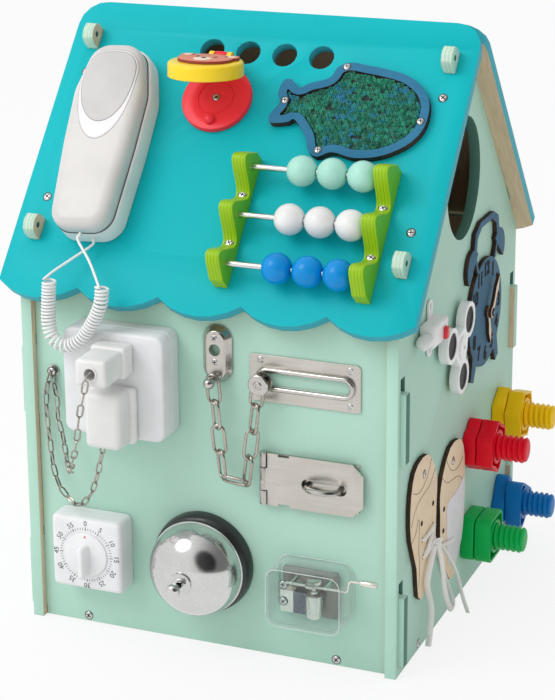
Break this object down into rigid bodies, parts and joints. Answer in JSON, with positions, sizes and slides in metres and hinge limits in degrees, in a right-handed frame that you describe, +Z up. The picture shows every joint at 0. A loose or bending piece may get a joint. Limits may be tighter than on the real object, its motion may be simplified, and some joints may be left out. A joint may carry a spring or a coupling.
{
  "type": "tabletop busy board house",
  "caption": "Tabletop wooden activity house with locks, switches, beads, bolts, a bell and other small toys on its roof and walls.",
  "frame": {"origin": "on the surface it stands on, midway between the four walls", "axes": "+X along the front wall to the gable with the window, +Y to the back, +Z up"},
  "size_m": [0.382, 0.4039, 0.4868],
  "materials": {
    "mint_paint": "matt paint",
    "bare_plywood": "sawn",
    "teal_paint": "satin paint",
    "white_plastic": "gloss",
    "pale_grey_plastic": "gloss",
    "red_plastic": "gloss",
    "yellow_plastic": "gloss",
    "blue_plastic": "gloss",
    "green_plastic": "gloss",
    "lime_paint": "painted",
    "mint_bead": "gloss paint",
    "white_bead": "gloss paint",
    "blue_bead": "gloss paint",
    "blue_stain": "stained",
    "brushed_steel": "brushed",
    "chrome": "polished",
    "black_plastic": "satin",
    "clear_plastic": "clear",
    "pale_plywood": "laser cut",
    "lace_cotton": "woven"
  },
  "bodies": {
    "house": {"front_wall": "mint_paint", "back_wall": "mint_paint", "left_gable": "mint_paint", "right_gable": "mint_paint", "floor_board": "bare_plywood", "front_roof": "teal_paint", "back_roof": "teal_paint", "phone_cradle": "white_plastic", "phone_curly_cord": "white_plastic", "wall_socket": "white_plastic", "timer_case": "white_plastic", "push_light_case": "white_plastic", "peekaboo_base": "red_plastic", "bolt_flower": "red_plastic", "bolt_hexagon": "yellow_plastic", "bolt_triangle": "blue_plastic", "bolt_square": "green_plastic", "abacus_frame": "lime_paint", "fish_board": "blue_stain", "alarm_clock_face": "blue_stain", "plug_chains": "brushed_steel", "chain_keeper_plate": "brushed_steel", "chain_track_plate": "brushed_steel", "hasp_base": "brushed_steel", "music_box_frame": "brushed_steel", "bell_dome": "chrome", "bell_base": "black_plastic", "music_box_case": "clear_plastic", "left_shoe": "pale_plywood", "right_shoe": "pale_plywood", "shoe_lace": "lace_cotton"},
    "handset": {"phone_handset": "pale_grey_plastic"},
    "peekaboo_lid": {"peekaboo_lid": "yellow_plastic"},
    "upper_plug": {"upper_plug": "white_plastic"},
    "lower_plug": {"lower_plug": "white_plastic"},
    "chain_slider": {"chain_slider": "brushed_steel"},
    "keeper_leg": {"door_chain_keeper_leg": "brushed_steel"},
    "slider_leg": {"door_chain_slider_leg": "brushed_steel"},
    "hasp_strap": {"hasp_strap": "brushed_steel"},
    "bell_plunger": {"bell_plunger": "chrome"},
    "timer_dial": {"timer_dial": "white_plastic"},
    "music_drum": {"music_box_drum": "chrome"},
    "music_crank": {"music_box_crank": "brushed_steel"},
    "hour_hand": {"hour_hand": "pale_plywood"},
    "minute_hand": {"minute_hand": "pale_plywood"},
    "light_button": {"push_light_button": "red_plastic"},
    "spinner": {"spinner": "white_plastic"},
    "bead_mint_1": {"bead_mint_1": "mint_bead"},
    "bead_mint_2": {"bead_mint_2": "mint_bead"},
    "bead_mint_3": {"bead_mint_3": "mint_bead"},
    "bead_white_1": {"bead_white_1": "white_bead"},
    "bead_white_2": {"bead_white_2": "white_bead"},
    "bead_white_3": {"bead_white_3": "white_bead"},
    "bead_blue_1": {"bead_blue_1": "blue_bead"},
    "bead_blue_2": {"bead_blue_2": "blue_bead"},
    "bead_blue_3": {"bead_blue_3": "blue_bead"},
    "nut_hexagon": {"nut_hexagon": "yellow_plastic"},
    "nut_flower": {"nut_flower": "red_plastic"},
    "nut_triangle": {"nut_triangle": "blue_plastic"},
    "nut_square": {"nut_square": "green_plastic"}
  },
  "joints": [
    {"name": "handset_lift", "type": "slide", "parent": "house", "child": "handset", "axis": [0, -0.766, 0.6428], "range_m": [0, 0.1]},
    {"name": "lid_hinge", "type": "hinge", "parent": "house", "child": "peekaboo_lid", "pos_m": [-0.0305, -0.04562, 0.45675], "axis": [1, 0, 0], "range_deg": [-35, 51]},
    {"name": "bead_mint_1_slide", "type": "slide", "parent": "house", "child": "bead_mint_1", "axis": [-1, 0, 0], "range_m": [0, 0.0288]},
    {"name": "bead_mint_2_slide", "type": "slide", "parent": "house", "child": "bead_mint_2", "axis": [-1, 0, 0], "range_m": [0, 0.0194]},
    {"name": "bead_mint_3_slide", "type": "slide", "parent": "house", "child": "bead_mint_3", "axis": [-1, 0, 0], "range_m": [0, 0.0097]},
    {"name": "bead_white_1_slide", "type": "slide", "parent": "house", "child": "bead_white_1", "axis": [-1, 0, 0], "range_m": [0, 0.0288]},
    {"name": "bead_white_2_slide", "type": "slide", "parent": "house", "child": "bead_white_2", "axis": [-1, 0, 0], "range_m": [0, 0.0194]},
    {"name": "bead_white_3_slide", "type": "slide", "parent": "house", "child": "bead_white_3", "axis": [-1, 0, 0], "range_m": [0, 0.0097]},
    {"name": "bead_blue_1_slide", "type": "slide", "parent": "house", "child": "bead_blue_1", "axis": [-1, 0, 0], "range_m": [0, 0.0288]},
    {"name": "bead_blue_2_slide", "type": "slide", "parent": "house", "child": "bead_blue_2", "axis": [-1, 0, 0], "range_m": [0, 0.0194]},
    {"name": "bead_blue_3_slide", "type": "slide", "parent": "house", "child": "bead_blue_3", "axis": [-1, 0, 0], "range_m": [0, 0.0097]},
    {"name": "upper_plug_pull", "type": "slide", "parent": "house", "child": "upper_plug", "axis": [0, -1, 0], "range_m": [0, 0.02], "deforming": ["plug_chains"]},
    {"name": "lower_plug_pull", "type": "slide", "parent": "house", "child": "lower_plug", "axis": [0, -1, 0], "range_m": [0, 0.02]},
    {"name": "chain_slider_slide", "type": "slide", "parent": "house", "child": "chain_slider", "axis": [1, 0, 0], "range_m": [0, 0.066]},
    {"name": "keeper_leg_swing", "type": "hinge", "parent": "house", "child": "keeper_leg", "pos_m": [0.01, -0.1648, 0.2285], "axis": [0, -1, 0], "range_deg": [0, 21.3]},
    {"name": "slider_leg_swing", "type": "hinge", "parent": "chain_slider", "child": "slider_leg", "pos_m": [0.0489, -0.1648, 0.2305], "axis": [0, -1, 0], "range_deg": [-29.4, 0]},
    {"name": "hasp_hinge", "type": "hinge", "parent": "house", "child": "hasp_strap", "pos_m": [0.0485, -0.1562, 0.1515], "axis": [0, 0, 1], "range_deg": [-90, 0]},
    {"name": "bell_press", "type": "slide", "parent": "house", "child": "bell_plunger", "axis": [0, 1, 0], "range_m": [0, 0.004], "stiffness_N_per_m": 150},
    {"name": "timer_turn", "type": "hinge", "parent": "house", "child": "timer_dial", "pos_m": [-0.099, -0.174, 0.07], "axis": [0, 1, 0], "range_deg": [0, 330]},
    {"name": "crank_turn", "type": "hinge", "parent": "house", "child": "music_crank", "pos_m": [0.12, -0.1765, 0.0765], "axis": [1, 0, 0], "continuous": true},
    {"name": "drum_turn", "type": "hinge", "parent": "house", "child": "music_drum", "pos_m": [0.0945, -0.1675, 0.06], "axis": [0, 0, 1], "continuous": true},
    {"name": "hour_hand_turn", "type": "hinge", "parent": "house", "child": "hour_hand", "pos_m": [0.163, 0.0555, 0.236], "axis": [1, 0, 0], "continuous": true},
    {"name": "minute_hand_turn", "type": "hinge", "parent": "house", "child": "minute_hand", "pos_m": [0.166, 0.0555, 0.236], "axis": [1, 0, 0], "continuous": true},
    {"name": "light_press", "type": "slide", "parent": "house", "child": "light_button", "axis": [-1, 0, 0], "range_m": [0, 0.002], "stiffness_N_per_m": 150},
    {"name": "spinner_spin", "type": "hinge", "parent": "house", "child": "spinner", "pos_m": [0.165, -0.0326, 0.233], "axis": [1, 0, 0], "continuous": true},
    {"name": "nut_hexagon_off", "type": "slide", "parent": "house", "child": "nut_hexagon", "axis": [1, 0, 0], "range_m": [0, 0.041]},
    {"name": "nut_flower_off", "type": "slide", "parent": "house", "child": "nut_flower", "axis": [1, 0, 0], "range_m": [0, 0.041]},
    {"name": "nut_triangle_off", "type": "slide", "parent": "house", "child": "nut_triangle", "axis": [1, 0, 0], "range_m": [0, 0.041]},
    {"name": "nut_square_off", "type": "slide", "parent": "house", "child": "nut_square", "axis": [1, 0, 0], "range_m": [0, 0.041]}
  ],
  "couplings": [
    {"joint": "bead_mint_2_slide", "follows": "bead_mint_1_slide", "ratio": 0.67},
    {"joint": "bead_mint_3_slide", "follows": "bead_mint_1_slide", "ratio": 0.335},
    {"joint": "bead_white_2_slide", "follows": "bead_white_1_slide", "ratio": 0.67},
    {"joint": "bead_white_3_slide", "follows": "bead_white_1_slide", "ratio": 0.335},
    {"joint": "bead_blue_2_slide", "follows": "bead_blue_1_slide", "ratio": 0.67},
    {"joint": "bead_blue_3_slide", "follows": "bead_blue_1_slide", "ratio": 0.335},
    {"joint": "keeper_leg_swing", "follows": "chain_slider_slide", "rad_per_m": 5.5},
    {"joint": "slider_leg_swing", "follows": "chain_slider_slide", "rad_per_m": -7.65},
    {"joint": "drum_turn", "follows": "crank_turn", "ratio": 0.071429}
  ]
}
